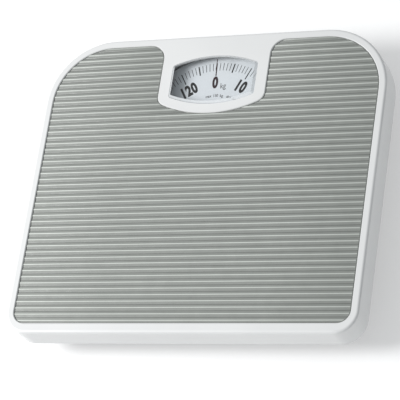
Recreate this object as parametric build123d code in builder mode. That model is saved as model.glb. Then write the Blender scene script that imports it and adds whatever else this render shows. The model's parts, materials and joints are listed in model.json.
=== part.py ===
"""Mechanical bathroom scale: dial platform scale with levers, main spring, bell crank and rack.

Units are millimetres. The origin is on the floor under the centre of the platform. +X is to the right,
+Y points to the dial end, where the toes are, and +Z is up.
"""

import os
from math import atan2, cos, degrees, pi, radians, sin, sqrt

from build123d import *

# ---- platform -------------------------------------------------------------------------------------
HALF_WIDTH = 133.0
HALF_DEPTH = 116.0
TOP = 46.0
SKIRT_BOTTOM = 25.0
FRONT_RADIUS = 17.0
BACK_RADIUS = 49.5
SHEET = 1.2
DECK_TOP = 44.2
DECK_UNDER = DECK_TOP - SHEET
EDGE_FILLET = 2.0

# ---- ribbed mat -----------------------------------------------------------------------------------
MAT_HALF_WIDTH = 126.9
MAT_FRONT = -108.1
MAT_BACK = 109.9
MAT_FRONT_RADIUS = 9.1
MAT_BACK_RADIUS = 43.0
MAT_BASE = 1.0
RIB_COUNT = 46
RIB_PITCH = 4.8
RIB_FIRST = -106.3
RIB_RADIUS = 0.7
RIB_CREST = 45.8
GROOVE_RADIUS = 0.35
MAT_GAP = 0.3

# ---- window ---------------------------------------------------------------------------------------
TAB_HALF_WIDTH = 42.2
TAB_FRONT = 52.8
TAB_FRONT_ARC = 92.0
TAB_CORNER = 8.0
TAB_FLARE = 12.0
WINDOW_HALF_WIDTH = 33.4
WINDOW_FRONT = 60.2
WINDOW_BACK = 99.1
WINDOW_ARC = 86.0
WINDOW_CORNER = 2.5
LENS_TOP = 47.4
LENS_WALL = 1.3
LENS_FLANGE = 2.5
LENS_BEVEL = 1.5
LENS_POCKET_TOP = LENS_TOP - LENS_WALL
INDEX_THICKNESS = 0.3
INDEX_WIDTH = 0.5
INDEX_X = 1.2

# ---- base pan -------------------------------------------------------------------------------------
PAN_UNDER = 3.0
PAN_SHEET = 1.0
PAN_FLOOR = PAN_UNDER + PAN_SHEET
PAN_TOP = 26.0
PAN_INSET = 17.0
PAN_TOP_INSET = 5.5
PAN_FRONT_RADIUS = 12.0
PAN_BACK_RADIUS = 34.0
WHEEL_NOTCH_HALF_WIDTH = 24.0
WHEEL_NOTCH_BOTTOM = 10.0
FOOT_RADIUS = 9.0
FLANGE_SHEET = 1.5
SCREW_RADIUS = 1.5
RIVET_RADIUS = 2.0
FOOT_STEM_RADIUS = 3.0

# ---- dial train -----------------------------------------------------------------------------------
DIAL_Y = 38.2
DIAL_RADIUS = 65.3
DIAL_UNDER = 36.1
DIAL_SHEET = 1.2
GEAR_MODULE = 0.5
PINION_TEETH = 10
PINION_RADIUS = GEAR_MODULE * PINION_TEETH / 2
RACK_TRAVEL = 2 * pi * PINION_RADIUS
RACK_UNDER = 31.0
RACK_TOP = 33.0
SPINDLE_RADIUS = 1.5
RUNNING_GAP = 0.05

# ---- spindle bridge -------------------------------------------------------------------------------
BRIDGE_HALF_WIDTH = 24.0
BRIDGE_FRONT = 6.0
BRIDGE_BACK = 46.0
BRIDGE_TOP = 28.5
BRIDGE_UNDER = BRIDGE_TOP - FLANGE_SHEET
BRIDGE_FOOT_INNER = 14.0
BRIDGE_SCREW_ROWS = (12, 40)
BUSH_RADIUS = 3.0
FLANGE_SCREW_X = 18.0

# ---- bell crank -----------------------------------------------------------------------------------
CRANK_X = 9.0
CRANK_Y = 50.0
CRANK_Z = 8.9
CRANK_LONG = 23.0
CRANK_SHORT = 9.2
CRANK_LEAN = atan2(RACK_TRAVEL / 2, sqrt(CRANK_LONG**2 - (RACK_TRAVEL / 2) ** 2))
CRANK_PLATE = 2.0
CRANK_TIP_RADIUS = 1.3
CRANK_HUB_RADIUS = 3.2
CRANK_PIN_RADIUS = 1.5
CRANK_SCREW_OFFSET = 8.5

# ---- levers ---------------------------------------------------------------------------------------
KNIFE_Z = 16.0
FULCRUM_X = 88.0
FRONT_FULCRUM = -84.0
BACK_FULCRUM = 72.0
LOAD_ARM = 18.0
MEETING_Y = (FRONT_FULCRUM + BACK_FULCRUM) / 2
NOSE_X = 16.0
NOSE_Y = 80.0
LONG_LEVER_BEND_Y = -58.0
LONG_LEVER_END_X = NOSE_X + 3.2
LONG_LEVER_END_Y = 72.0
CHANNEL_WIDTH = 9.0
CHANNEL_HEIGHT = 8.0
CHANNEL_SHEET = 1.2
CHANNEL_UNDER = 12.5
KNIFE_HEIGHT = 3.0
KNIFE_HALF_ANGLE = 30.0
NOTCH_HALF_ANGLE = 50.0
NOTCH_GAP = 0.1
EAR_OFFSET = 9.0
EAR_SHEET = 2.0
EAR_WIDTH = 10.0

# ---- main spring and zero adjustment --------------------------------------------------------------
SPRING_Y = 90.0
SPRING_RADIUS = 6.5
SPRING_WIRE = 1.1
SPRING_PITCH = 2.3
SPRING_LOW = 14.8
SPRING_TURNS = 5.5
PLUG_RADIUS = SPRING_RADIUS - SPRING_WIRE - 0.05
HANGER_TOP = 31.0
HANGER_SCREW_Y = 91.0
ZERO_SCREW_RADIUS = 2.0
WHEEL_RADIUS = 21.5
WHEEL_UNDER = 31.3
WHEEL_TOP = 34.9
RETAINING_TURNS = 15

FULCRUMS = {
    "front_left": (-FULCRUM_X, FRONT_FULCRUM),
    "front_right": (FULCRUM_X, FRONT_FULCRUM),
    "back_left": (-FULCRUM_X, BACK_FULCRUM),
    "back_right": (FULCRUM_X, BACK_FULCRUM),
}
SIDES = {"left": -1, "right": 1}
FOOT_PLACES = [(-90, -70), (90, -70), (-84, 52), (84, 52)]
HOOK_PLACES = [(-42, -62), (42, -62)]


def save(builder, name):
    """Label a finished piece and write it to its own file."""
    builder.part.label = name
    export_step(builder.part, f"parts/{name}.step")


def block(x_range, y_range, z_range, mode=Mode.ADD):
    """A box between two limits along each axis."""
    middle = [(low + high) / 2 for low, high in (x_range, y_range, z_range)]
    size = [high - low for low, high in (x_range, y_range, z_range)]
    with Locations(tuple(middle)):
        Box(*size, mode=mode)


def rod(x, y, radius, z_range, mode=Mode.ADD):
    """An upright cylinder."""
    with Locations((x, y, sum(z_range) / 2)):
        Cylinder(radius, z_range[1] - z_range[0], mode=mode)


# ---- outlines -------------------------------------------------------------------------------------
def plate_outline(half_width, front, back, front_radius, back_radius):
    """Rectangle with small corners at the heel end and large ones at the dial end."""
    with BuildSketch() as plate:
        with Locations((0, (front + back) / 2)):
            Rectangle(2 * half_width, back - front)
        fillet(plate.vertices().group_by(Axis.Y)[0], front_radius)
        fillet(plate.vertices().group_by(Axis.Y)[-1], back_radius)
    return plate.sketch


def platform_outline(inset=0.0):
    """Outer edge of the platform, drawn in by an inset."""
    return plate_outline(
        HALF_WIDTH - inset,
        inset - HALF_DEPTH,
        HALF_DEPTH - inset,
        FRONT_RADIUS - inset,
        BACK_RADIUS - inset,
    )


def tab_outline(inset=0.0):
    """Tab of the deck round the window: straight sides and a bowed heel-side edge."""
    half = TAB_HALF_WIDTH - inset
    front = TAB_FRONT + inset
    rise = TAB_FRONT_ARC - sqrt(TAB_FRONT_ARC**2 - half**2)
    with BuildSketch() as tab:
        with BuildLine():
            Polyline((-half, front + rise), (-half, HALF_DEPTH), (half, HALF_DEPTH), (half, front + rise))
            ThreePointArc((half, front + rise), (0, front), (-half, front + rise))
        make_face()
        fillet(tab.vertices().group_by(Axis.Y)[0], TAB_CORNER - inset)
    return tab.sketch


def mat_outline(gap=0.0):
    """Mat with its cut-out, grown by a gap to give the recess that it lies in."""
    with BuildSketch() as mat:
        add(
            plate_outline(
                MAT_HALF_WIDTH + gap,
                MAT_FRONT - gap,
                MAT_BACK + gap,
                MAT_FRONT_RADIUS + gap,
                MAT_BACK_RADIUS + gap,
            )
        )
        add(tab_outline(gap), mode=Mode.SUBTRACT)
        inner_corners = mat.vertices().filter_by(
            lambda v: abs(abs(v.X) - TAB_HALF_WIDTH + gap) < 0.01 and v.Y > MAT_BACK - 1
        )
        fillet(inner_corners, TAB_FLARE - gap)
    return mat.sketch


def window_outline(growth=0.0):
    """Window with straight sides and both long edges bowed outwards."""
    half = WINDOW_HALF_WIDTH + growth
    front = WINDOW_FRONT - growth
    back = WINDOW_BACK + growth
    rise = WINDOW_ARC - sqrt(WINDOW_ARC**2 - half**2)
    with BuildSketch() as window:
        with BuildLine():
            Line((-half, front + rise), (-half, back - rise))
            ThreePointArc((-half, back - rise), (0, back), (half, back - rise))
            Line((half, back - rise), (half, front + rise))
            ThreePointArc((half, front + rise), (0, front), (-half, front + rise))
        make_face()
        fillet(window.vertices(), max(WINDOW_CORNER + growth, 0.8))
    return window.sketch


# ---- platform pieces ------------------------------------------------------------------------------
def make_platform_shell():
    with BuildPart() as shell:
        with BuildSketch(Plane.XY.offset(SKIRT_BOTTOM)):
            add(platform_outline())
        extrude(amount=TOP - SKIRT_BOTTOM)
        fillet(shell.faces().sort_by(Axis.Z)[-1].outer_wire().edges(), EDGE_FILLET)
        with BuildSketch(Plane.XY.offset(SKIRT_BOTTOM)):
            add(platform_outline(SHEET))
        extrude(amount=DECK_UNDER - SKIRT_BOTTOM, mode=Mode.SUBTRACT)
        with BuildSketch(Plane.XY.offset(DECK_TOP)):
            add(mat_outline(MAT_GAP))
        extrude(amount=TOP - DECK_TOP, mode=Mode.SUBTRACT)
        recess_edges = shell.edges().filter_by(lambda e: abs(e.center().Z - TOP) < 0.001)
        chamfer(recess_edges, 0.5)
        # The rim and the tab are pressed up from the sheet, so they are hollow from below.
        with BuildSketch(Plane.XY.offset(DECK_UNDER)):
            add(platform_outline(EDGE_FILLET + 0.6))
            add(mat_outline(MAT_GAP + SHEET), mode=Mode.SUBTRACT)
            add(window_outline(SHEET + LENS_FLANGE), mode=Mode.SUBTRACT)
        extrude(amount=TOP - SHEET - DECK_UNDER, mode=Mode.SUBTRACT)
        with BuildSketch(Plane.XY.offset(SKIRT_BOTTOM)):
            add(window_outline())
        extrude(amount=TOP, mode=Mode.SUBTRACT)
    save(shell, "platform_shell")


def make_ribbed_mat():
    base_top = DECK_TOP + MAT_BASE
    with BuildPart() as mat:
        with BuildSketch(Plane.YZ):
            with Locations((0, DECK_TOP + MAT_BASE / 2)):
                Rectangle(4 * HALF_DEPTH, MAT_BASE)
            for index in range(RIB_COUNT):
                y = RIB_FIRST + index * RIB_PITCH
                with Locations((y, RIB_CREST - RIB_RADIUS)):
                    Circle(RIB_RADIUS)
                with Locations((y + RIB_PITCH / 2, base_top)):
                    Circle(GROOVE_RADIUS, mode=Mode.SUBTRACT)
            with Locations((0, DECK_TOP - 10)):
                Rectangle(4 * HALF_DEPTH, 20, mode=Mode.SUBTRACT)
        extrude(amount=HALF_WIDTH, both=True)
        with BuildSketch(Plane.XY.offset(DECK_TOP)):
            add(mat_outline())
        extrude(amount=TOP - DECK_TOP, mode=Mode.INTERSECT)
    save(mat, "ribbed_mat")


def make_window_lens():
    with BuildPart() as lens:
        with BuildSketch(Plane.XY.offset(DECK_UNDER)):
            add(window_outline(-MAT_GAP))
        extrude(amount=LENS_TOP - DECK_UNDER)
        chamfer(lens.faces().sort_by(Axis.Z)[-1].edges(), LENS_BEVEL)
        with BuildSketch(Plane.XY.offset(DECK_UNDER - SHEET)):
            add(window_outline(LENS_FLANGE))
        extrude(amount=SHEET)
        with BuildSketch(Plane.XY.offset(DECK_UNDER - SHEET)):
            add(window_outline(-MAT_GAP - LENS_WALL))
        extrude(amount=LENS_POCKET_TOP - DECK_UNDER + SHEET, mode=Mode.SUBTRACT)
    save(lens, "window_lens")


def make_index_line():
    z_range = (LENS_POCKET_TOP - INDEX_THICKNESS, LENS_POCKET_TOP)
    with BuildPart() as index:
        x_range = (INDEX_X - INDEX_WIDTH / 2, INDEX_X + INDEX_WIDTH / 2)
        block(x_range, (WINDOW_BACK - 12, WINDOW_BACK - 3), z_range)
    save(index, "index_line")


def notch_profile(y, apex, height, half_angle):
    """Triangle standing on its apex if the height is positive, hanging from it if negative."""
    half = abs(height) * sin(radians(half_angle)) / cos(radians(half_angle))
    with BuildSketch() as notch:
        with BuildLine():
            Polyline((y, apex), (y + half, apex + height), (y - half, apex + height), close=True)
        make_face()
    return notch.sketch


def bracket_ear(x, y, z_range):
    """One upright ear of a knife-edge bracket."""
    x_range = (x - EAR_SHEET / 2, x + EAR_SHEET / 2)
    block(x_range, (y - EAR_WIDTH / 2, y + EAR_WIDTH / 2), z_range)


def make_load_bracket(name, x, y):
    """Two ears under the deck, each with an inverted V resting on the lever's load knife."""
    low = KNIFE_Z - 3
    with BuildPart() as bracket:
        block((x - 14, x + 14), (y - 7, y + 7), (DECK_UNDER - 1.5, DECK_UNDER))
        for ear_x in (x - EAR_OFFSET, x + EAR_OFFSET):
            bracket_ear(ear_x, y, (low, DECK_UNDER - 1.5))
        with BuildSketch(Plane.YZ.offset(x)):
            add(notch_profile(y, KNIFE_Z + NOTCH_GAP, -4, NOTCH_HALF_ANGLE))
        extrude(amount=20, both=True, mode=Mode.SUBTRACT)
    save(bracket, name)


def make_deck_stiffeners():
    with BuildPart() as bars:
        for y in (-92.0, -42.0):
            with BuildSketch(Plane.YZ):
                with Locations((y, DECK_UNDER - 2.5)):
                    Rectangle(14, 5)
                with Locations((y, DECK_UNDER - 2.0)):
                    Rectangle(11.6, 4, mode=Mode.SUBTRACT)
            extrude(amount=62, both=True)
    save(bars, "deck_stiffeners")


def make_platform_hooks():
    with BuildPart() as hooks:
        for x, y in HOOK_PLACES:
            block((x - 5, x + 5), (y - 4, y + 4), (DECK_UNDER - 1, DECK_UNDER))
            block((x - 0.6, x + 0.6), (y - 3, y + 3), (DECK_UNDER - 8.2, DECK_UNDER - 1))
            with BuildSketch(Plane.YZ.offset(x)):
                with Locations((y, DECK_UNDER - 6)):
                    Circle(1.3)
            extrude(amount=2, both=True, mode=Mode.SUBTRACT)
    save(hooks, "platform_spring_hooks")


# ---- base pieces ----------------------------------------------------------------------------------
def pan_outline(inset):
    """Edge of the pan, drawn in from the platform's outer edge."""
    return plate_outline(
        HALF_WIDTH - inset,
        inset - HALF_DEPTH,
        HALF_DEPTH - inset,
        PAN_FRONT_RADIUS,
        PAN_BACK_RADIUS,
    )


def make_base_pan():
    slope = (PAN_INSET - PAN_TOP_INSET) / (PAN_TOP - PAN_UNDER)
    flare = degrees(atan2(slope, 1))
    inner_inset = PAN_INSET - slope * PAN_SHEET + PAN_SHEET * sqrt(1 + slope**2)
    with BuildPart() as pan:
        with BuildSketch(Plane.XY.offset(PAN_UNDER)):
            add(pan_outline(PAN_INSET))
        extrude(amount=PAN_TOP - PAN_UNDER, taper=-flare)
        with BuildSketch(Plane.XY.offset(PAN_FLOOR)):
            add(pan_outline(inner_inset))
        extrude(amount=PAN_TOP, taper=-flare, mode=Mode.SUBTRACT)
        # A notch in the back wall lets a finger reach the zero wheel.
        notch_x = (-WHEEL_NOTCH_HALF_WIDTH, WHEEL_NOTCH_HALF_WIDTH)
        notch_z = (WHEEL_NOTCH_BOTTOM, PAN_TOP + 1)
        block(notch_x, (HALF_DEPTH - 14, HALF_DEPTH), notch_z, mode=Mode.SUBTRACT)
        # Pressed swages stiffen the floor from below.
        for x in (-45, 0, 45):
            with BuildSketch(Plane.XY.offset(PAN_UNDER - 1)):
                with Locations((x, -18)):
                    SlotOverall(110, 8, rotation=90)
            extrude(amount=1)
        for x, y in FOOT_PLACES:
            rod(x, y, FOOT_STEM_RADIUS, (PAN_UNDER - 1, PAN_FLOOR + 1), mode=Mode.SUBTRACT)
        for x, y in bracket_rivet_places():
            rod(x, y, RIVET_RADIUS, (PAN_UNDER - 2, PAN_FLOOR + 1), mode=Mode.SUBTRACT)
        for x, y in screw_places():
            rod(x, y, SCREW_RADIUS, (PAN_UNDER - 2, PAN_FLOOR + 1), mode=Mode.SUBTRACT)
    save(pan, "base_pan")


def make_rubber_feet():
    with BuildPart() as feet:
        for x, y in FOOT_PLACES:
            rod(x, y, FOOT_RADIUS, (0, PAN_UNDER))
        fillet(feet.edges().filter_by(GeomType.CIRCLE).group_by(Axis.Z)[0], 0.8)
        for x, y in FOOT_PLACES:
            rod(x, y, FOOT_STEM_RADIUS, (PAN_UNDER, PAN_FLOOR))
            rod(x, y, FOOT_STEM_RADIUS + 1.2, (PAN_FLOOR, PAN_FLOOR + 1.6))
    save(feet, "rubber_feet")


def bracket_rivet_places():
    return [(x + dx, y) for x, y in FULCRUMS.values() for dx in (-4, 4)]


def make_fulcrum_bracket(name, x, y):
    """Two ears standing on the pan, each with a V that carries the lever's fulcrum knife."""
    foot_top = PAN_FLOOR + FLANGE_SHEET
    with BuildPart() as bracket:
        block((x - 14, x + 14), (y - 6, y + 6), (PAN_FLOOR, foot_top))
        for ear_x in (x - EAR_OFFSET, x + EAR_OFFSET):
            bracket_ear(ear_x, y, (foot_top, KNIFE_Z + 3))
        with BuildSketch(Plane.YZ.offset(x)):
            add(notch_profile(y, KNIFE_Z - NOTCH_GAP, 4, NOTCH_HALF_ANGLE))
        extrude(amount=20, both=True, mode=Mode.SUBTRACT)
        for dx in (-4, 4):
            rod(x + dx, y, RIVET_RADIUS, (PAN_FLOOR - 1, foot_top + 1), mode=Mode.SUBTRACT)
    save(bracket, name)


def make_bracket_rivets():
    foot_top = PAN_FLOOR + FLANGE_SHEET
    with BuildPart() as rivets:
        for x, y in bracket_rivet_places():
            rod(x, y, RIVET_RADIUS, (PAN_UNDER, foot_top))
            rod(x, y, RIVET_RADIUS + 1.2, (PAN_UNDER - 1, PAN_UNDER))
            rod(x, y, RIVET_RADIUS + 1.2, (foot_top, foot_top + 1))
    save(rivets, "bracket_rivets")


def screw_places():
    bridge = [(x, y) for x in (-FLANGE_SCREW_X, FLANGE_SCREW_X) for y in BRIDGE_SCREW_ROWS]
    hanger = [(-FLANGE_SCREW_X, HANGER_SCREW_Y), (FLANGE_SCREW_X, HANGER_SCREW_Y)]
    crank = [(CRANK_X - CRANK_SCREW_OFFSET, CRANK_Y), (CRANK_X + CRANK_SCREW_OFFSET, CRANK_Y)]
    return bridge + hanger + crank


def make_mechanism_screws():
    flange_top = PAN_FLOOR + FLANGE_SHEET
    with BuildPart() as screws:
        for x, y in screw_places():
            rod(x, y, SCREW_RADIUS, (PAN_UNDER - 1, flange_top))
            rod(x, y, 2.8, (flange_top, flange_top + 1.4))
            slot_height = (flange_top + 0.8, flange_top + 2)
            block((x - 2.2, x + 2.2), (y - 0.35, y + 0.35), slot_height, mode=Mode.SUBTRACT)
    save(screws, "mechanism_screws")


def make_spindle_bridge():
    """Bent sheet table over the pinion end of the train, with feet turned inwards."""
    depth = (BRIDGE_FRONT, BRIDGE_BACK)
    through = (BRIDGE_UNDER - 1, BRIDGE_TOP + 1)
    screw_z = (PAN_FLOOR - 1, PAN_FLOOR + 3)
    with BuildPart() as bridge:
        block((-BRIDGE_HALF_WIDTH, BRIDGE_HALF_WIDTH), depth, (BRIDGE_UNDER, BRIDGE_TOP))
        for side in (-1, 1):
            wall = sorted((side * (BRIDGE_HALF_WIDTH - FLANGE_SHEET), side * BRIDGE_HALF_WIDTH))
            foot = sorted((side * BRIDGE_FOOT_INNER, side * BRIDGE_HALF_WIDTH))
            block(wall, depth, (PAN_FLOOR, BRIDGE_UNDER))
            block(foot, depth, (PAN_FLOOR, PAN_FLOOR + FLANGE_SHEET))
            for y in BRIDGE_SCREW_ROWS:
                rod(side * FLANGE_SCREW_X, y, SCREW_RADIUS, screw_z, mode=Mode.SUBTRACT)
        # The bell crank's long arm swings in a slot that is open at the back edge.
        block((CRANK_X - 2.5, CRANK_X + 2.5), (DIAL_Y - 0.2, CRANK_Y), through, mode=Mode.SUBTRACT)
        rod(0, DIAL_Y, BUSH_RADIUS, through, mode=Mode.SUBTRACT)
        fillet(bridge.edges().filter_by(Axis.Y).group_by(Axis.Z)[-1], 1.2)
    save(bridge, "spindle_bridge")


def make_bridge_bush():
    with BuildPart() as bush:
        rod(0, DIAL_Y, BUSH_RADIUS, (BRIDGE_UNDER - 0.6, BRIDGE_TOP))
        rod(0, DIAL_Y, BUSH_RADIUS + 1.2, (BRIDGE_TOP, BRIDGE_TOP + 0.7))
        rod(0, DIAL_Y, SPINDLE_RADIUS + RUNNING_GAP, (BRIDGE_UNDER - 1, BRIDGE_TOP + 1.5), mode=Mode.SUBTRACT)
    save(bush, "bridge_bush")


def make_foot_bearing():
    with BuildPart() as cup:
        rod(0, DIAL_Y, 7.0, (PAN_FLOOR, PAN_FLOOR + 1.2))
        rod(0, DIAL_Y, 4.5, (PAN_FLOOR + 1.2, PAN_FLOOR + 5))
        rod(0, DIAL_Y, SPINDLE_RADIUS + RUNNING_GAP, (PAN_FLOOR + 1.4, PAN_FLOOR + 6), mode=Mode.SUBTRACT)
    save(cup, "foot_bearing")


def make_rack_guide():
    """Block on the bridge with a groove that keeps the rack against the pinion."""
    with BuildPart() as guide:
        block((3.4, 10.5), (21, 31), (BRIDGE_TOP, RACK_UNDER - 0.1))
        block((7.7, 10.5), (21, 31), (RACK_UNDER - 0.1, RACK_TOP + 1.4))
        block((5.4, 7.7), (21, 31), (RACK_TOP + 0.1, RACK_TOP + 1.4))
    save(guide, "rack_guide")


def make_spring_hanger():
    """Bent sheet portal over the main spring, with feet turned outwards."""
    under = HANGER_TOP - FLANGE_SHEET
    screw_z = (PAN_FLOOR - 1, PAN_FLOOR + 3)
    with BuildPart() as hanger:
        block((-14, 14), (84, 96), (under, HANGER_TOP))
        for side in (-1, 1):
            leg = sorted((side * 12.5, side * 14))
            foot = sorted((side * 12.5, side * 22))
            block(leg, (86, 96), (PAN_FLOOR, under))
            block(foot, (86, 96), (PAN_FLOOR, PAN_FLOOR + FLANGE_SHEET))
            rod(side * FLANGE_SCREW_X, HANGER_SCREW_Y, SCREW_RADIUS, screw_z, mode=Mode.SUBTRACT)
        rod(0, SPRING_Y, ZERO_SCREW_RADIUS, (under - 1, HANGER_TOP + 1), mode=Mode.SUBTRACT)
    save(hanger, "spring_hanger")


def make_zero_screw():
    """Threaded rod hung in the zero wheel, ending in the plug that the top coils grip."""
    with BuildPart() as screw:
        rod(0, SPRING_Y, ZERO_SCREW_RADIUS, (27.5, WHEEL_TOP + 0.4))
        rod(0, SPRING_Y, PLUG_RADIUS, (23.0, 28.0))
        chamfer(screw.faces().sort_by(Axis.Z)[0].edges(), 0.6)
    save(screw, "zero_screw")


def make_crank_bracket():
    with BuildPart() as bracket:
        block((CRANK_X - 11.5, CRANK_X + 11.5), (CRANK_Y - 4, CRANK_Y + 4), (PAN_FLOOR, PAN_FLOOR + 1.2))
        for side in (-1, 1):
            inner = CRANK_X + side * 2.0
            outer = CRANK_X + side * 3.5
            ear = sorted((inner, outer))
            pad = sorted((CRANK_X + side * 5.3, CRANK_X + side * 11.5))
            block(ear, (CRANK_Y - 4, CRANK_Y + 4), (PAN_FLOOR + 1.2, CRANK_Z + 3.5))
            block(pad, (CRANK_Y - 4, CRANK_Y + 4), (PAN_FLOOR + 1.2, PAN_FLOOR + FLANGE_SHEET))
            screw_x = CRANK_X + side * CRANK_SCREW_OFFSET
            rod(screw_x, CRANK_Y, SCREW_RADIUS, (PAN_FLOOR - 1, PAN_FLOOR + 3), mode=Mode.SUBTRACT)
        with BuildSketch(Plane.YZ.offset(CRANK_X)):
            with Locations((CRANK_Y, CRANK_Z)):
                Circle(CRANK_PIN_RADIUS)
        extrude(amount=6, both=True, mode=Mode.SUBTRACT)
    save(bracket, "crank_bracket")


def make_crank_pin():
    with BuildPart() as pin:
        with BuildSketch(Plane.YZ.offset(CRANK_X)):
            with Locations((CRANK_Y, CRANK_Z)):
                Circle(CRANK_PIN_RADIUS)
        extrude(amount=3.5, both=True)
        with BuildSketch(Plane.YZ.offset(CRANK_X + 3.5)):
            with Locations((CRANK_Y, CRANK_Z)):
                Circle(2.3)
        extrude(amount=1)
    save(pin, "crank_pin")


def make_base_hooks():
    with BuildPart() as hooks:
        for x, y in HOOK_PLACES:
            block((x - 5, x + 5), (y - 4, y + 4), (PAN_FLOOR, PAN_FLOOR + 1))
            block((x - 0.6, x + 0.6), (y - 3, y + 3), (PAN_FLOOR + 1, PAN_FLOOR + 9))
            with BuildSketch(Plane.YZ.offset(x)):
                with Locations((y, PAN_FLOOR + 6)):
                    Circle(1.3)
            extrude(amount=2, both=True, mode=Mode.SUBTRACT)
    save(hooks, "base_spring_hooks")


# ---- levers ---------------------------------------------------------------------------------------
def knife(x, y, half_length, height):
    """Wedge across a lever: edge down if the height is positive, edge up if negative."""
    with BuildPart() as wedge:
        with BuildSketch(Plane.YZ.offset(x)):
            add(notch_profile(y, KNIFE_Z, height, KNIFE_HALF_ANGLE))
        extrude(amount=half_length, both=True)
    return wedge.part


def lever_channel(points, bend_radius):
    """Channel open downwards, swept along a plan line."""
    start, after = Vector(*points[0]), Vector(*points[1])
    with BuildPart() as channel:
        with BuildLine(Plane.XY.offset(CHANNEL_UNDER + CHANNEL_HEIGHT / 2)) as path:
            FilletPolyline(*points, radius=bend_radius)
        profile_plane = Plane(
            origin=(start.X, start.Y, CHANNEL_UNDER + CHANNEL_HEIGHT / 2),
            x_dir=(after.Y - start.Y, start.X - after.X, 0),
            z_dir=(after.X - start.X, after.Y - start.Y, 0),
        )
        with BuildSketch(profile_plane) as section:
            Rectangle(CHANNEL_WIDTH, CHANNEL_HEIGHT)
            up = profile_plane.y_dir.Z
            with Locations((0, -up * CHANNEL_SHEET)):
                Rectangle(CHANNEL_WIDTH - 2 * CHANNEL_SHEET, CHANNEL_HEIGHT, mode=Mode.SUBTRACT)
        sweep(path=path.wire())
    return channel.part


def long_lever_x(y):
    """Distance of a long lever's centre line from the scale's centre line, along its slanting run."""
    share = (y - LONG_LEVER_BEND_Y) / (LONG_LEVER_END_Y - LONG_LEVER_BEND_Y)
    return FULCRUM_X + share * (LONG_LEVER_END_X - FULCRUM_X)


COUPLING_X = long_lever_x(MEETING_Y) + 16.5


def make_long_lever(side_name, side):
    """Long lever from the heel-end fulcrum to the nose plate."""
    x = side * FULCRUM_X
    fulcrum = knife(x, FRONT_FULCRUM, 12, KNIFE_HEIGHT)
    load = knife(x, FRONT_FULCRUM + LOAD_ARM, 12, -KNIFE_HEIGHT)
    end = (side * LONG_LEVER_END_X, LONG_LEVER_END_Y)
    route = [(x, FRONT_FULCRUM - 6), (x, LONG_LEVER_BEND_Y), end]
    body = lever_channel(route, 15)
    with BuildPart() as lever:
        add(body)
        tip_x = sorted((side * (NOSE_X - 2), side * (NOSE_X + 2)))
        block(tip_x, (67, NOSE_Y + 4), (KNIFE_Z, CHANNEL_UNDER + CHANNEL_HEIGHT))
        add(fulcrum, mode=Mode.SUBTRACT)
        add(load, mode=Mode.SUBTRACT)
    save(lever, f"long_lever_{side_name}")
    with BuildPart() as knives:
        add(fulcrum)
        add(load)
    save(knives, f"long_lever_knives_{side_name}")


def make_coupling_bracket(side_name, side):
    """Cradle welded to the outside of a long lever, with V notches for the short lever's end."""
    y = MEETING_Y
    centre = side * COUPLING_X
    with BuildPart() as cradle:
        for ear_x in (centre - 7.5, centre + 7.5):
            block((ear_x - 1, ear_x + 1), (y - 4.5, y + 4.5), (10.0, KNIFE_Z + 2.5))
        block((centre - 8.5, centre + 8.5), (y - 4.5, y + 4.5), (8.8, 10.0))
        with BuildSketch(Plane.YZ.offset(centre)):
            add(notch_profile(y, KNIFE_Z - NOTCH_GAP, 4, NOTCH_HALF_ANGLE))
        extrude(amount=20, both=True, mode=Mode.SUBTRACT)
    save(cradle, f"coupling_bracket_{side_name}")


def make_short_lever(side_name, side):
    """Short lever from the dial-end fulcrum forward to the cradle on the long lever."""
    x = side * FULCRUM_X
    fulcrum = knife(x, BACK_FULCRUM, 12, KNIFE_HEIGHT)
    load = knife(x, BACK_FULCRUM - LOAD_ARM, 12, -KNIFE_HEIGHT)
    tip = knife(side * COUPLING_X, MEETING_Y, 9.5, KNIFE_HEIGHT)
    route = [
        (x, BACK_FULCRUM + 6),
        (x, 36),
        (side * COUPLING_X, 12),
        (side * COUPLING_X, MEETING_Y - 6),
    ]
    body = lever_channel(route, 12)
    with BuildPart() as lever:
        add(body)
        add(fulcrum, mode=Mode.SUBTRACT)
        add(load, mode=Mode.SUBTRACT)
        add(tip, mode=Mode.SUBTRACT)
    save(lever, f"short_lever_{side_name}")
    with BuildPart() as knives:
        add(fulcrum)
        add(load)
        add(tip)
    save(knives, f"short_lever_knives_{side_name}")


# ---- nose plate and main spring -------------------------------------------------------------------
def make_nose_plate():
    """Upright plate that the lever noses press down, with a shelf under the main spring."""
    with BuildPart() as plate:
        block((-22, 22), (NOSE_Y - 0.75, NOSE_Y + 0.75), (12, 25))
        for x in (-NOSE_X, NOSE_X):
            block((x - 3, x + 3), (NOSE_Y - 2, NOSE_Y + 2), (KNIFE_Z - NOTCH_GAP, 22), mode=Mode.SUBTRACT)
        block((-8, 8), (NOSE_Y + 0.75, SPRING_Y + 7), (12, 13.5))
    save(plate, "nose_plate")


def make_spring_plug():
    with BuildPart() as plug:
        rod(0, SPRING_Y, PLUG_RADIUS, (13.5, 18.5))
        chamfer(plug.faces().sort_by(Axis.Z)[-1].edges(), 0.6)
    save(plug, "spring_plug")


def make_calibration_tongue():
    """Strap from the nose plate to the bell crank's short arm."""
    front = NOSE_Y - 0.75
    tip_end = CRANK_Y + CRANK_SHORT - CRANK_TIP_RADIUS
    with BuildPart() as tongue:
        block((CRANK_X - 3.5, CRANK_X + 3), (tip_end, front), (13.5, 14.7))
        block((CRANK_X - 3.5, CRANK_X + 3), (front - 1.2, front), (14.7, 23))
    save(tongue, "calibration_tongue")


def make_calibration_screw():
    front = NOSE_Y - 1.95
    with BuildPart() as screw:
        with BuildSketch(Plane.XZ.offset(-front)):
            with Locations((CRANK_X - 0.25, 19.5)):
                Circle(2.4)
        extrude(amount=1.4)
    save(screw, "calibration_screw")


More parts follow.
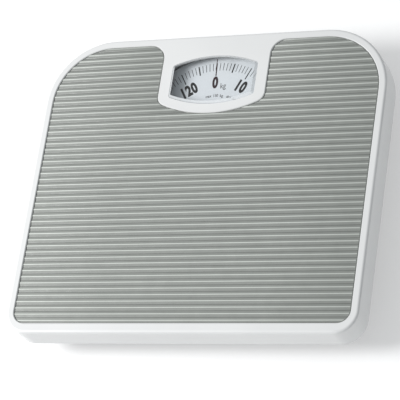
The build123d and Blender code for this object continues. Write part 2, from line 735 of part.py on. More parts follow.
def coil(x, y, low, pitch, turns, radius, wire):
    """Close-wound coil with its axis upright."""
    with BuildPart() as spring:
        with BuildLine() as path:
            Helix(pitch=pitch, height=pitch * turns, radius=radius, center=(x, y, low))
        with BuildSketch(Plane(origin=path.wire() @ 0, z_dir=path.wire() % 0)):
            Circle(wire)
        sweep(path=path.wire(), is_frenet=True)
    return spring.part


def make_main_spring():
    body = coil(0, SPRING_Y, SPRING_LOW, SPRING_PITCH, SPRING_TURNS, SPRING_RADIUS, SPRING_WIRE)
    with BuildPart() as spring:
        add(body)
    save(spring, "main_spring")


def make_retaining_spring(name, x, y):
    low, high = PAN_FLOOR + 9.6, DECK_UNDER - 9.6
    body = coil(x, y, low, (high - low) / RETAINING_TURNS, RETAINING_TURNS, 2.6, 0.45)
    with BuildPart() as spring:
        add(body)
        for end, hole in ((low, PAN_FLOOR + 6), (high, DECK_UNDER - 6)):
            with BuildLine(Plane.XZ.offset(-y)) as loop:
                Line((x + 2.6, end), (x + 2.6, (end + hole) / 2))
                ThreePointArc((x + 2.6, (end + hole) / 2), (x, hole), (x - 2.6, (end + hole) / 2))
            with BuildSketch(Plane(origin=(x + 2.6, y, end), z_dir=(0, 0, hole - end))):
                Circle(0.45)
            sweep(path=loop.wire())
    save(spring, name)


# ---- bell crank, rack and dial --------------------------------------------------------------------
def crank_tips():
    """Ends of the long and the short arm at rest, as (y, z)."""
    long_tip = (CRANK_Y - CRANK_LONG * sin(CRANK_LEAN), CRANK_Z + CRANK_LONG * cos(CRANK_LEAN))
    short_tip = (CRANK_Y + CRANK_SHORT * cos(CRANK_LEAN), CRANK_Z + CRANK_SHORT * sin(CRANK_LEAN))
    return long_tip, short_tip


def crank_arm(tip, root_radius, end_radius):
    """Straight arm from the crank's centre to one of its tips."""
    with BuildSketch() as arm:
        with Locations((CRANK_Y, CRANK_Z)):
            Circle(root_radius)
        with Locations(tip):
            Circle(end_radius)
        make_hull()
    return arm.sketch


def make_bell_crank():
    """Flat crank: a long arm with a side pin up to the rack, a short arm under the calibration tongue."""
    long_tip, short_tip = crank_tips()
    plane = Plane.YZ.offset(CRANK_X - CRANK_PLATE / 2)
    with BuildPart() as crank:
        with BuildSketch(plane):
            add(crank_arm(long_tip, CRANK_HUB_RADIUS, 1.8))
            add(crank_arm(short_tip, 0.8, 0.8))
            with Locations(short_tip):
                Circle(CRANK_TIP_RADIUS)
            with Locations((CRANK_Y, CRANK_Z)):
                Circle(CRANK_PIN_RADIUS + RUNNING_GAP, mode=Mode.SUBTRACT)
        extrude(amount=CRANK_PLATE)
        with BuildSketch(plane):
            with Locations(long_tip):
                Circle(1.2)
        extrude(amount=-3.8)
    save(crank, "bell_crank")


def make_rack_bar():
    """Toothed bar with a fork at its end for the bell crank's pin."""
    pitch = pi * GEAR_MODULE
    tip_y = crank_tips()[0][0]
    root_x = PINION_RADIUS + 0.6
    with BuildPart() as rack:
        block((root_x, 7.5), (9, tip_y + 2), (RACK_UNDER, RACK_TOP))
        with BuildSketch(Plane.XY.offset(RACK_UNDER)):
            for index in range(-12, 2):
                with Locations((0, DIAL_Y + (index + 0.5) * pitch)):
                    Polygon(
                        (root_x + 0.1, -0.5),
                        (root_x + 0.1, 0.5),
                        (PINION_RADIUS - 0.35, 0.17),
                        (PINION_RADIUS - 0.35, -0.17),
                        align=None,
                    )
        extrude(amount=RACK_TOP - RACK_UNDER)
        block((3.6, 7.5), (tip_y - 3.2, tip_y + 3.2), (29.6, 34.5))
        block((4.0, 8.0), (tip_y - 1.4, tip_y + 1.4), (29.0, 33.4), mode=Mode.SUBTRACT)
    save(rack, "rack_bar")


def make_pinion():
    root = PINION_RADIUS - 0.62
    with BuildPart() as pinion:
        with BuildSketch(Plane.XY.offset(RACK_UNDER - 0.5)):
            with Locations((0, DIAL_Y)):
                Circle(root)
                with PolarLocations(0, PINION_TEETH):
                    Polygon(
                        (root - 0.2, -0.46),
                        (PINION_RADIUS, -0.33),
                        (PINION_RADIUS + 0.35, -0.15),
                        (PINION_RADIUS + 0.35, 0.15),
                        (PINION_RADIUS, 0.33),
                        (root - 0.2, 0.46),
                        align=None,
                    )
                Circle(SPINDLE_RADIUS, mode=Mode.SUBTRACT)
        extrude(amount=RACK_TOP - RACK_UNDER + 1)
    save(pinion, "pinion")


def make_spindle():
    with BuildPart() as spindle:
        rod(0, DIAL_Y, SPINDLE_RADIUS, (PAN_FLOOR + 1.5, DIAL_UNDER + DIAL_SHEET + 0.8))
        chamfer(spindle.edges(), 0.3)
    save(spindle, "dial_spindle")


def make_dial_hub():
    with BuildPart() as hub:
        rod(0, DIAL_Y, 3.2, (RACK_TOP + 0.5, DIAL_UNDER - 1.2))
        rod(0, DIAL_Y, 8.0, (DIAL_UNDER - 1.2, DIAL_UNDER))
        rod(0, DIAL_Y, SPINDLE_RADIUS, (RACK_TOP, DIAL_UNDER + 1), mode=Mode.SUBTRACT)
    save(hub, "dial_hub")


def make_dial_disc():
    with BuildPart() as dial:
        rod(0, DIAL_Y, DIAL_RADIUS, (DIAL_UNDER, DIAL_UNDER + DIAL_SHEET))
        rod(0, DIAL_Y, SPINDLE_RADIUS, (DIAL_UNDER - 1, DIAL_UNDER + 3), mode=Mode.SUBTRACT)
        chamfer(dial.edges().filter_by(GeomType.CIRCLE).sort_by(SortBy.RADIUS)[-2:], 0.2)
    save(dial, "dial_disc")


def make_zero_wheel():
    """Knurled thumbwheel that works as a nut on the zero screw."""
    with BuildPart() as wheel:
        rod(0, SPRING_Y, WHEEL_RADIUS, (WHEEL_UNDER, WHEEL_TOP))
        with Locations((0, SPRING_Y, (WHEEL_UNDER + WHEEL_TOP) / 2)):
            with PolarLocations(WHEEL_RADIUS + 0.3, 60):
                Cylinder(0.75, WHEEL_TOP - WHEEL_UNDER, mode=Mode.SUBTRACT)
        bore = ZERO_SCREW_RADIUS + RUNNING_GAP
        rod(0, SPRING_Y, bore, (WHEEL_UNDER - 1, WHEEL_TOP + 1), mode=Mode.SUBTRACT)
    save(wheel, "zero_wheel")


def main():
    os.makedirs("parts", exist_ok=True)
    make_platform_shell()
    make_ribbed_mat()
    make_window_lens()
    make_index_line()
    make_deck_stiffeners()
    make_platform_hooks()
    make_base_pan()
    make_rubber_feet()
    make_bracket_rivets()
    make_mechanism_screws()
    for corner, (x, y) in FULCRUMS.items():
        inward = LOAD_ARM if y < 0 else -LOAD_ARM
        make_fulcrum_bracket(f"fulcrum_bracket_{corner}", x, y)
        make_load_bracket(f"load_bracket_{corner}", x, y + inward)
    make_spindle_bridge()
    make_bridge_bush()
    make_foot_bearing()
    make_rack_guide()
    make_spring_hanger()
    make_zero_screw()
    make_crank_bracket()
    make_crank_pin()
    make_base_hooks()
    for side_name, side in SIDES.items():
        make_long_lever(side_name, side)
        make_coupling_bracket(side_name, side)
        make_short_lever(side_name, side)
    make_nose_plate()
    make_spring_plug()
    make_calibration_tongue()
    make_calibration_screw()
    make_main_spring()
    for side_name, (x, y) in zip(SIDES, HOOK_PLACES):
        make_retaining_spring(f"retaining_spring_{side_name}", x, y)
    make_bell_crank()
    make_rack_bar()
    make_pinion()
    make_spindle()
    make_dial_hub()
    make_dial_disc()
    make_zero_wheel()


main()
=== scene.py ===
"""Visual model of a mechanical bathroom scale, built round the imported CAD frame.

Metres. The origin is on the floor under the centre of the platform; +Y points to the dial end
and +Z up.
"""

import json

from math import cos, pi, radians, sin, sqrt

import bmesh
import bpy
from mathutils import Matrix, Vector


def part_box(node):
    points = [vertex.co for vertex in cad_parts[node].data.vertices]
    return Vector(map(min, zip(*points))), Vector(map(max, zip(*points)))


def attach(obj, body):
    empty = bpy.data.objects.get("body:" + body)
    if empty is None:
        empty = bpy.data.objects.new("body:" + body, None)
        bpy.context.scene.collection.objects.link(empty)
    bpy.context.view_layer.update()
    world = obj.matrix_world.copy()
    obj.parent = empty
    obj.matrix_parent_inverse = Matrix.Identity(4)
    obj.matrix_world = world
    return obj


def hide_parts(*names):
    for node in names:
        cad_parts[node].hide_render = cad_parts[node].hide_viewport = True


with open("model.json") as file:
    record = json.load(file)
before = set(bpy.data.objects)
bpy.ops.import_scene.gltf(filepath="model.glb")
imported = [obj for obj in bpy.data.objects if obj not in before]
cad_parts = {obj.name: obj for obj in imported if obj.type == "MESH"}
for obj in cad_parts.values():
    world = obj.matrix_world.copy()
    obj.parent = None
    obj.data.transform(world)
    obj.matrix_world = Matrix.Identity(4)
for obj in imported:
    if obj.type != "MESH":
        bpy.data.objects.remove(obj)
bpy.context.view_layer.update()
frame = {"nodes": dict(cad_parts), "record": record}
nodes = frame["nodes"]
MM = 0.001

# ---- places read from the frame -----------------------------------------------------------------
MAT_LOW, MAT_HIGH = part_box("ribbed_mat")
DIAL_LOW, DIAL_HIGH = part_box("dial_disc")
DIAL_CENTRE = Vector(
    ((DIAL_LOW.x + DIAL_HIGH.x) / 2, (DIAL_LOW.y + DIAL_HIGH.y) / 2, DIAL_HIGH.z)
)

# ---- values that the mat's shape and its rubber share -------------------------------------------
RIB_RISE = 1.0 * MM
# Height of the flat between a rib and the next groove, as a share of the rise from groove to crest.
FLAT_SHARE = 0.34
MAT_TINT = (0.96, 1.0, 0.935)


# ---- shader helpers -----------------------------------------------------------------------------
class Shader:
    """A node tree with one Principled shader and short ways to add and join nodes."""

    def __init__(self, name, roughness=0.5, metallic=0.0, **constants):
        self.material = bpy.data.materials.new(name)
        self.material.use_nodes = True
        self.tree = self.material.node_tree
        self.surface = self.tree.nodes["Principled BSDF"]
        self.surface.inputs["Roughness"].default_value = roughness
        self.surface.inputs["Metallic"].default_value = metallic
        for socket, value in constants.items():
            self.surface.inputs[socket.replace("_", " ")].default_value = value
        self.place = self.tree.nodes.new("ShaderNodeTexCoord").outputs["Object"]

    def node(self, kind, inputs=None, **settings):
        made = self.tree.nodes.new(kind)
        for key, value in settings.items():
            setattr(made, key, value)
        for key, value in (inputs or {}).items():
            if isinstance(value, bpy.types.NodeSocket):
                self.tree.links.new(value, made.inputs[key])
            else:
                made.inputs[key].default_value = value
        return made

    def stretched(self, scale):
        """Object coordinates scaled differently along each axis."""
        return self.node("ShaderNodeMapping", {"Vector": self.place, "Scale": scale}).outputs[0]

    def noise(self, scale, detail=3.0, place=None):
        inputs = {"Vector": place or self.place, "Scale": scale, "Detail": detail}
        return self.node("ShaderNodeTexNoise", inputs).outputs["Fac"]

    def ramp(self, factor, stops):
        made = self.node("ShaderNodeValToRGB", {"Fac": factor})
        elements = made.color_ramp.elements
        while len(elements) < len(stops):
            elements.new(0.5)
        for element, (position, colour) in zip(elements, stops):
            element.position = position
            element.color = colour if len(colour) == 4 else (*colour, 1.0)
        return made.outputs["Color"]

    def mix(self, factor, first, second, blend="MIX"):
        made = self.node("ShaderNodeMix", data_type="RGBA", blend_type=blend)
        places = (made.inputs[0], made.inputs[6], made.inputs[7])
        for socket, value in zip(places, (factor, first, second)):
            if isinstance(value, bpy.types.NodeSocket):
                self.tree.links.new(value, socket)
            else:
                socket.default_value = value
        return made.outputs[2]

    def bump(self, height, distance, strength):
        inputs = {"Height": height, "Distance": distance, "Strength": strength}
        made = self.node("ShaderNodeBump", inputs)
        self.tree.links.new(made.outputs[0], self.surface.inputs["Normal"])

    def colour(self, socket):
        self.tree.links.new(socket, self.surface.inputs["Base Color"])

    def rough(self, socket):
        self.tree.links.new(socket, self.surface.inputs["Roughness"])


def grey(value, tint=(1.0, 1.0, 1.0)):
    return tuple(value * part for part in tint) + (1.0,)


def enamel(name, light, shade, roughness, peel):
    """Stoved enamel: slight orange peel, faint clouding of the colour and of the gloss."""
    made = Shader(name, roughness=roughness, Specular_IOR_Level=0.5)
    clouds = made.noise(18.0, 4.0)
    made.colour(made.ramp(clouds, [(0.35, shade), (0.65, light)]))
    gloss = made.noise(25.0, 2.0)
    made.rough(made.ramp(gloss, [(0.3, grey(roughness)), (0.7, grey(roughness + 0.05))]))
    made.bump(made.noise(600.0, 1.0), peel, 0.1)
    return made.material


def mat_rubber():
    """Grey vinyl mat: painted shade in the grooves, a painted highlight on the crests, fine grain
    and mottled gloss.
    """
    made = Shader("grey_mat", roughness=0.42, Specular_IOR_Level=0.5)
    mottle = made.noise(120.0, 6.0)
    base = made.ramp(mottle, [(0.3, grey(0.26, MAT_TINT)), (0.7, grey(0.285, MAT_TINT))])
    streaks = made.noise(40.0, 3.0, made.stretched((0.6, 14.0, 1.0)))
    streaked = made.ramp(streaks, [(0.3, grey(0.24, MAT_TINT)), (0.7, grey(0.305, MAT_TINT))])
    base = made.mix(0.3, base, streaked)
    height = made.node("ShaderNodeSeparateXYZ", {"Vector": made.place}).outputs["Z"]
    share = made.node(
        "ShaderNodeMapRange",
        {"Value": height, "From Min": MAT_HIGH.z - RIB_RISE, "From Max": MAT_HIGH.z},
    ).outputs["Result"]
    # Painted light by height: the grooves are darkened as painted shade, and the crests are
    # lightened to twice the colour as a painted highlight.
    painted_rib_light = made.ramp(
        share, [(0.0, grey(0.62)), (FLAT_SHARE, grey(1.0)), (0.6, grey(1.05)), (0.95, grey(2.0))]
    )
    made.colour(made.mix(1.0, base, painted_rib_light, "MULTIPLY"))
    made.rough(made.ramp(made.noise(200.0, 4.0), [(0.3, grey(0.36)), (0.7, grey(0.50))]))
    made.bump(made.noise(2600.0, 3.0), 0.00004, 0.5)
    return made.material


def clear_plastic():
    """Clear moulding: hardly any veil on its faces and walls, and a milky white on its bevels that
    is a painted highlight for the bright band of light along them.
    """
    made = Shader("clear_lens", roughness=0.05, Specular_IOR_Level=0.8)
    haze = made.noise(90.0, 4.0)
    made.colour(made.ramp(haze, [(0.3, (0.90, 0.92, 0.94)), (0.7, (0.93, 0.95, 0.96))]))
    made.rough(made.ramp(made.noise(30.0, 3.0), [(0.4, grey(0.03)), (0.8, grey(0.08))]))
    facing = made.node("ShaderNodeTexCoord").outputs["Normal"]
    upward = made.node("ShaderNodeSeparateXYZ", {"Vector": facing}).outputs["Z"]
    flatness = made.node("ShaderNodeMath", {0: upward}, operation="ABSOLUTE").outputs[0]
    # Almost clear on flat and upright faces. On the bevels it is a milky white, a painted highlight
    # for the band of light they catch.
    veil_and_bevel_highlight = made.ramp(flatness, [(0.3, grey(0.04)), (0.7, grey(0.60)), (0.95, grey(0.012))])
    made.tree.links.new(veil_and_bevel_highlight, made.surface.inputs["Alpha"])
    return made.material


def dial_paint():
    """Pale blue-grey paint with faint clouds."""
    made = Shader("dial_face", roughness=0.45)
    cloud = made.noise(35.0, 4.0)
    made.colour(made.ramp(cloud, [(0.3, (0.62, 0.655, 0.685)), (0.7, (0.66, 0.69, 0.715))]))
    made.bump(made.noise(1800.0, 2.0), 0.00001, 0.3)
    return made.material


def ink(name, dark, light):
    """Printing ink with slightly uneven cover."""
    made = Shader(name, roughness=0.4)
    made.colour(made.ramp(made.noise(700.0, 3.0), [(0.35, dark), (0.75, light)]))
    return made.material


def black_moulding(name, roughness):
    """Black rubber or plastic with a moulded grain and uneven gloss."""
    made = Shader(name, roughness=roughness)
    made.colour(made.ramp(made.noise(150.0, 4.0), [(0.3, grey(0.018)), (0.7, grey(0.034))]))
    gloss = made.noise(300.0, 3.0)
    made.rough(made.ramp(gloss, [(0.3, grey(roughness - 0.08)), (0.7, grey(roughness + 0.1))]))
    made.bump(made.noise(2200.0, 3.0), 0.00003, 0.5)
    return made.material


def sheet_metal(name, dark, light, roughness, scale, stretch=(1.0, 1.0, 1.0)):
    """Rolled, drawn or plated metal with spangle or draw marks."""
    made = Shader(name, roughness=roughness, metallic=1.0)
    marks = made.noise(scale, 5.0, made.stretched(stretch))
    made.colour(made.ramp(marks, [(0.3, dark), (0.7, light)]))
    gloss = made.noise(scale * 0.6, 4.0)
    made.rough(made.ramp(gloss, [(0.3, grey(roughness - 0.08)), (0.7, grey(roughness + 0.12))]))
    made.bump(marks, 0.00002, 0.3)
    return made.material


MATERIALS = {
    "white_enamel": enamel(
        "white_enamel", (0.76, 0.76, 0.755), (0.735, 0.735, 0.732), roughness=0.30, peel=0.00002
    ),
    # Dark grey pan enamel, made this dark as painted shade for the inside of the scale seen through
    # the window.
    "pan_enamel": enamel(
        "pan_enamel", (0.165, 0.17, 0.172), (0.14, 0.145, 0.148), roughness=0.38, peel=0.00003
    ),
    "grey_mat": mat_rubber(),
    "clear_lens": clear_plastic(),
    "dial_face": dial_paint(),
    "index_red": ink("index_red", (0.045, 0.010, 0.014), (0.075, 0.016, 0.020)),
    "print_black": ink("print_black", grey(0.006), grey(0.016)),
    "print_grey": ink("print_grey", grey(0.05), grey(0.09)),
    "print_zero": ink("print_zero", (0.016, 0.005, 0.008), (0.032, 0.008, 0.012)),
    "black_rubber": black_moulding("black_rubber", 0.65),
    "black_plastic": black_moulding("black_plastic", 0.45),
    "brass": sheet_metal("brass", (0.60, 0.42, 0.16), (0.78, 0.60, 0.28), 0.30, 400.0),
    "bright_steel": sheet_metal(
        "bright_steel", grey(0.42), grey(0.60), 0.28, 900.0, stretch=(1.0, 1.0, 0.2)
    ),
    "zinc_steel": sheet_metal("zinc_steel", (0.46, 0.47, 0.46), (0.62, 0.63, 0.60), 0.38, 220.0),
}


def dress_cad_nodes():
    """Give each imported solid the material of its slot."""
    for entry in frame["record"]["subparts"]:
        node = nodes[entry["node"]]
        node.data.materials.clear()
        node.data.materials.append(MATERIALS[entry["material_slot"]])


# ---- mesh helpers -------------------------------------------------------------------------------
def mesh_from(build, name):
    """Turn a closed bmesh into a mesh with its normals outwards."""
    bmesh.ops.recalc_face_normals(build, faces=build.faces)
    mesh = bpy.data.meshes.new(name)
    build.to_mesh(mesh)
    build.free()
    return mesh


def finish_piece(name, mesh, material, body, replaced=None):
    """Show a mesh as a piece on a body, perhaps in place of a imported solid."""
    piece = bpy.data.objects.new(name, mesh)
    bpy.context.scene.collection.objects.link(piece)
    mesh.materials.clear()
    mesh.materials.append(MATERIALS[material])
    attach(piece, body)
    if replaced:
        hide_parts(replaced)
    return piece


# ---- dial printing ------------------------------------------------------------------------------
KILOS_PER_TURN = 130
PRINT_HEIGHT = 0.04 * MM
TICK_OUTER = 59.2 * MM
# Inner radius and width of the bars at each kilo, each fifth and each tenth.
TICKS = {1: (53.2 * MM, 0.40 * MM), 5: (51.8 * MM, 0.95 * MM), 10: (49.7 * MM, 0.75 * MM)}
# Inner radius, outer radius and width.
ZERO_TICK = (48.9 * MM, 59.2 * MM, 0.85 * MM)
# Height of the font's figures as a share of its nominal size, and steps along each of its curves.
FIGURE_SHARE = 0.7
FONT_STEPS = 6
NUMBER_BASE = 39.5 * MM
NUMBER_HEIGHT = 8.5 * MM
NUMBER_NARROW = 0.68
NUMBER_WEIGHT = 0.65 * MM
NUMBER_SPACING = 1.10
ZERO_OFFSET = radians(-2.6)
UNIT_TEXT = "kg"
UNIT_ANGLE = radians(9.5)
UNIT_BASE = 38.8 * MM
UNIT_HEIGHT = 4.4 * MM
UNIT_NARROW = 0.8
RANGE_TEXT = "max 130 kg  d=1 kg"
RANGE_BASE = 31.8 * MM
RANGE_START = radians(-12.0)
RANGE_STEP = radians(2.35)
RANGE_HEIGHT = 2.2 * MM
RANGE_NARROW = 0.9
RANGE_WEIGHT = 0.04 * MM


def angle_of(kilos):
    """Angle on the dial, clockwise from the middle of the window, as the numbers increase."""
    return ZERO_OFFSET + 2 * pi * kilos / KILOS_PER_TURN


def on_dial(angle, radius):
    return DIAL_CENTRE + Vector((sin(angle), cos(angle), 0)) * radius


def print_bar(build, angle, inner, outer, width):
    """Thin raised bar along a radius of the dial."""
    along = Vector((sin(angle), cos(angle), 0))
    across = Vector((cos(angle), -sin(angle), 0)) * (width / 2)
    corners = [
        along * inner - across,
        along * inner + across,
        along * outer + across,
        along * outer - across,
    ]
    rise = Vector((0, 0, PRINT_HEIGHT))
    low = [build.verts.new(DIAL_CENTRE + corner) for corner in corners]
    high = [build.verts.new(DIAL_CENTRE + corner + rise) for corner in corners]
    build.faces.new(high[::-1])
    build.faces.new(low)
    for index in range(4):
        after = (index + 1) % 4
        build.faces.new((low[index], high[index], high[after], low[after]))


def dial_ticks():
    """One bar per kilo; the zero has its own ink, so it is a piece of its own."""
    bars = bmesh.new()
    for kilos in range(1, KILOS_PER_TURN):
        step = 10 if kilos % 10 == 0 else 5 if kilos % 5 == 0 else 1
        inner, width = TICKS[step]
        print_bar(bars, angle_of(kilos), inner, TICK_OUTER, width)
    finish_piece("dial_ticks", mesh_from(bars, "dial_ticks"), "print_black", "dial")
    zero = bmesh.new()
    print_bar(zero, angle_of(0), *ZERO_TICK)
    mesh = mesh_from(zero, "dial_zero_tick")
    finish_piece("dial_zero_tick", mesh, "print_zero", "dial")


def lettering(name, text, height, place, angle, narrow, weight=0.0, spacing=1.0):
    """Flat letters: the middle of their base line is at place, their tops point along angle."""
    curve = bpy.data.curves.new(name, "FONT")
    curve.body = text
    curve.align_x = "CENTER"
    curve.size = height / FIGURE_SHARE
    curve.offset = weight
    curve.space_character = spacing
    curve.resolution_u = FONT_STEPS
    curve.extrude = PRINT_HEIGHT / 2
    holder = bpy.data.objects.new(name, curve)
    bpy.context.scene.collection.objects.link(holder)
    bpy.context.view_layer.update()
    evaluated = holder.evaluated_get(bpy.context.evaluated_depsgraph_get())
    mesh = bpy.data.meshes.new_from_object(evaluated)
    bpy.data.objects.remove(holder)
    turn = Matrix.Rotation(-angle, 4, "Z") @ Matrix.Diagonal((narrow, 1.0, 1.0, 1.0))
    mesh.transform(Matrix.Translation(place + Vector((0, 0, PRINT_HEIGHT / 2))) @ turn)
    return mesh


def dial_numbers():
    for kilos in range(0, KILOS_PER_TURN, 10):
        name = f"dial_number_{kilos}"
        mesh = lettering(
            name,
            str(kilos),
            NUMBER_HEIGHT,
            on_dial(angle_of(kilos), NUMBER_BASE),
            angle_of(kilos),
            NUMBER_NARROW,
            NUMBER_WEIGHT,
            NUMBER_SPACING,
        )
        ink_name = "print_zero" if kilos == 0 else "print_black"
        finish_piece(name, mesh, ink_name, "dial")


def small_print():
    """Grey unit sign beside the zero, and the range and the division along an arc."""
    place = on_dial(angle_of(0) + UNIT_ANGLE, UNIT_BASE)
    mesh = lettering("dial_unit", UNIT_TEXT, UNIT_HEIGHT, place, angle_of(0), UNIT_NARROW)
    finish_piece("dial_unit", mesh, "print_grey", "dial")
    for index, letter in enumerate(RANGE_TEXT):
        if letter == " ":
            continue
        name = f"dial_range_{index:02d}"
        angle = RANGE_START + index * RANGE_STEP
        place = on_dial(angle, RANGE_BASE)
        mesh = lettering(name, letter, RANGE_HEIGHT, place, angle, RANGE_NARROW, RANGE_WEIGHT)
        finish_piece(name, mesh, "print_grey", "dial")


# ---- ribbed mat ---------------------------------------------------------------------------------
RIB_COUNT = 46
RIB_PITCH = 4.8 * MM
RIB_FIRST = -106.3 * MM
RIB_STEPS = 20
# How far a crest and a groove reach to each side, as shares of the pitch.
CREST_REACH = 0.17
GROOVE_REACH = 0.08
MAT_FRONT_RADIUS = 9.1 * MM
MAT_BACK_RADIUS = 43.0 * MM
TAB_HALF_WIDTH = 42.2 * MM
TAB_FRONT = 52.8 * MM
TAB_FRONT_ARC = 92.0 * MM
TAB_CORNER = 8.0 * MM
TAB_FLARE = 12.0 * MM
# The mat's rounded cut edge: distances from the edge, with the share of height kept there.
EDGE_PROFILE = ((0.0, 0.0), (0.0, 0.55), (0.25 * MM, 0.9), (0.8 * MM, 1.0))
# The same for its front and back ends: height kept at the very end, and length of the rounding.
END_KEPT = 0.6
END_ROUNDING = 0.8 * MM
# Least width left between the tab's cut-out and the mat's outer edge.
STRIP_WIDTH = 2 * MM
MERGE_DISTANCE = 1e-6
SHARP_ANGLE = radians(50)


def corner_reach(distance, radius):
    """How far a round corner draws an edge in, at a distance short of the corner's end."""
    into = radius - distance
    return radius - sqrt(max(radius**2 - into**2, 0.0)) if into > 0 else 0.0


def mat_half_width(y):
    front = corner_reach(y - MAT_LOW.y, MAT_FRONT_RADIUS)
    back = corner_reach(MAT_HIGH.y - y, MAT_BACK_RADIUS)
    return MAT_HIGH.x - max(front, back)


def tab_half_width(y):
    """Half width of the cut-out for the window tab; nothing in front of the tab."""
    if y <= TAB_FRONT:
        return 0.0
    arc_y = TAB_FRONT + TAB_FRONT_ARC
    # The round corner between the bowed edge and the straight side is centred on this point.
    centre_x = TAB_HALF_WIDTH - TAB_CORNER
    centre_y = arc_y - sqrt((TAB_FRONT_ARC - TAB_CORNER) ** 2 - centre_x**2)
    touch_y = centre_y - TAB_CORNER * (arc_y - centre_y) / (TAB_FRONT_ARC - TAB_CORNER)
    if y < touch_y:
        side = sqrt(max(TAB_FRONT_ARC**2 - (arc_y - y) ** 2, 0.0))
    elif y < centre_y:
        side = centre_x + sqrt(max(TAB_CORNER**2 - (y - centre_y) ** 2, 0.0))
    else:
        side = TAB_HALF_WIDTH
    return side + corner_reach(MAT_HIGH.y - y, TAB_FLARE)


def rib_height(phase):
    """Height over the grooves, as a share of RIB_RISE, at a phase from -0.5 to 0.5 of the pitch."""
    away = abs(phase)
    crest = sqrt(max(0.0, 1.0 - (away / CREST_REACH) ** 2))
    groove = sqrt(max(0.0, 1.0 - ((0.5 - away) / GROOVE_REACH) ** 2))
    return max(crest, FLAT_SHARE * (1.0 - groove))


def mat_rows():
    """Rows of (y, height share) from the front edge to the back edge."""
    step = RIB_PITCH / RIB_STEPS
    rows = [(MAT_LOW.y, rib_height((MAT_LOW.y - RIB_FIRST) / RIB_PITCH))]
    for index in range(-RIB_STEPS, RIB_COUNT * RIB_STEPS):
        y = RIB_FIRST + index * step
        if MAT_LOW.y + step / 3 < y < MAT_HIGH.y - step / 3:
            phase = (index / RIB_STEPS + 0.5) % 1.0 - 0.5
            rows.append((y, rib_height(phase)))
    rows.append((MAT_HIGH.y, rib_height(0.5)))
    return rows


def mat_columns(y):
    """Distances from the centre line across one half of the mat, with the share of height kept."""
    outer = mat_half_width(y)
    inner = min(tab_half_width(y), outer - STRIP_WIDTH)
    if inner > 0:
        columns = [(inner + away, kept) for away, kept in EDGE_PROFILE]
    else:
        columns = [(away, 1.0) for away, _ in EDGE_PROFILE]
    columns.append(((inner + outer) / 2, 1.0))
    columns += [(outer - away, kept) for away, kept in EDGE_PROFILE[::-1]]
    return columns


def add_mat_half(build, side, rows):
    """Upper sheet, lower sheet and both end walls of one half."""
    low, valley = MAT_LOW.z, MAT_HIGH.z - RIB_RISE
    tops, floors = [], []
    for y, share in rows:
        columns = mat_columns(y)
        from_end = min(y - MAT_LOW.y, MAT_HIGH.y - y)
        fade = min(1.0, END_KEPT + from_end / END_ROUNDING)
        top = valley + share * (MAT_HIGH.z - valley)
        points = [Vector((side * x, y, low + (top - low) * kept * fade)) for x, kept in columns]
        tops.append([build.verts.new(point) for point in points])
        floors.append([build.verts.new((side * x, y, low)) for x, _ in columns])
    for sheet, flip in ((tops, side < 0), (floors, side > 0)):
        for lower, upper in zip(sheet, sheet[1:]):
            for index in range(len(lower) - 1):
                ring = [lower[index], lower[index + 1], upper[index + 1], upper[index]]
                build.faces.new(ring[::-1] if flip else ring)
    for top, floor in ((tops[0], floors[0]), (tops[-1], floors[-1])):
        for index in range(len(top) - 1):
            build.faces.new([top[index], top[index + 1], floor[index + 1], floor[index]])


def ribbed_mat():
    """Closed mesh of the mat, a left and a right half that meet along the centre line."""
    build = bmesh.new()
    rows = mat_rows()
    for side in (-1, 1):
        add_mat_half(build, side, rows)
    bmesh.ops.remove_doubles(build, verts=build.verts, dist=MERGE_DISTANCE)
    bmesh.ops.dissolve_degenerate(build, edges=build.edges, dist=MERGE_DISTANCE / 10)
    centre_wall = [
        face for face in build.faces if all(abs(vert.co.x) < MERGE_DISTANCE for vert in face.verts)
    ]
    bmesh.ops.delete(build, geom=centre_wall, context="FACES")
    mesh = mesh_from(build, "mat_ribs")
    mesh.polygons.foreach_set("use_smooth", [True] * len(mesh.polygons))
    mesh.set_sharp_from_angle(angle=SHARP_ANGLE)
    finish_piece("mat_ribs", mesh, "grey_mat", "platform", "ribbed_mat")


# ---- studio -------------------------------------------------------------------------------------
CAMERA_TARGET = Vector((4.5 * MM, -15.7 * MM, MAT_HIGH.z))
CAMERA_AZIMUTH = radians(45.84)
CAMERA_ELEVATION = radians(56.60)
CAMERA_ROLL = radians(-42.10)
CAMERA_DISTANCE = 1.549
CAMERA_LENS = 197.9
CAMERA_CLIP_END = 20.0
KEY_PLACE = Vector((-1.15, -0.30, 1.25))
KEY_AIM = Vector((0, 0, 0.03))
KEY_SIZE = 0.75
KEY_POWER = 31.0
SKY_COLOUR = (0.94, 0.99, 1.02, 1.0)
SKY_STRENGTH = 0.38
FLOOR_HALF = 6.0
FLOOR_GLOW = 0.42


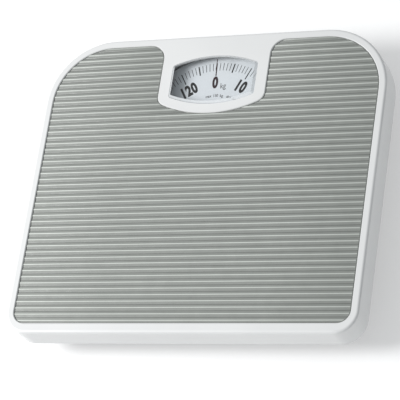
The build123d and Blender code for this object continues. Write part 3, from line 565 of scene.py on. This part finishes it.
def add_camera():
    """Camera at an azimuth and an elevation round its target, rolled about its line of sight."""
    back = Vector(
        (
            sin(CAMERA_AZIMUTH) * cos(CAMERA_ELEVATION),
            -cos(CAMERA_AZIMUTH) * cos(CAMERA_ELEVATION),
            sin(CAMERA_ELEVATION),
        )
    )
    data = bpy.data.cameras.new("camera")
    data.lens = CAMERA_LENS
    data.clip_end = CAMERA_CLIP_END
    camera = bpy.data.objects.new("camera", data)
    bpy.context.scene.collection.objects.link(camera)
    camera.rotation_mode = "QUATERNION"
    camera.location = CAMERA_TARGET + back * CAMERA_DISTANCE
    level = (-back).to_track_quat("-Z", "Y")
    camera.rotation_quaternion = level @ Matrix.Rotation(CAMERA_ROLL, 4, "Z").to_quaternion()
    bpy.context.scene.camera = camera


def add_key_light():
    data = bpy.data.lights.new("key", "AREA")
    data.shape = "DISK"
    data.size = KEY_SIZE
    data.energy = KEY_POWER
    light = bpy.data.objects.new("key", data)
    bpy.context.scene.collection.objects.link(light)
    light.location = KEY_PLACE
    light.rotation_mode = "QUATERNION"
    light.rotation_quaternion = (KEY_AIM - KEY_PLACE).to_track_quat("-Z", "Y")


def add_floor():
    """Pale floor with a faint glow, which keeps the shadow on it soft and light."""
    mesh = bpy.data.meshes.new("floor")
    corners = [(-1, -1), (1, -1), (1, 1), (-1, 1)]
    mesh.from_pydata([(x * FLOOR_HALF, y * FLOOR_HALF, 0) for x, y in corners], [], [(0, 1, 2, 3)])
    floor = bpy.data.objects.new("floor", mesh)
    bpy.context.scene.collection.objects.link(floor)
    made = Shader(
        "studio_floor", roughness=0.7, Emission_Color=grey(1.0), Emission_Strength=FLOOR_GLOW
    )
    made.colour(made.ramp(made.noise(3.0, 2.0), [(0.3, grey(0.59)), (0.7, grey(0.61))]))
    mesh.materials.append(made.material)


def add_sky():
    world = bpy.data.worlds.new("studio")
    bpy.context.scene.world = world
    world.use_nodes = True
    background = world.node_tree.nodes["Background"]
    background.inputs["Color"].default_value = SKY_COLOUR
    background.inputs["Strength"].default_value = SKY_STRENGTH


dress_cad_nodes()
dial_ticks()
dial_numbers()
small_print()
ribbed_mat()
add_floor()
add_sky()
add_key_light()
add_camera()
bpy.context.scene.view_settings.view_transform = "Standard"
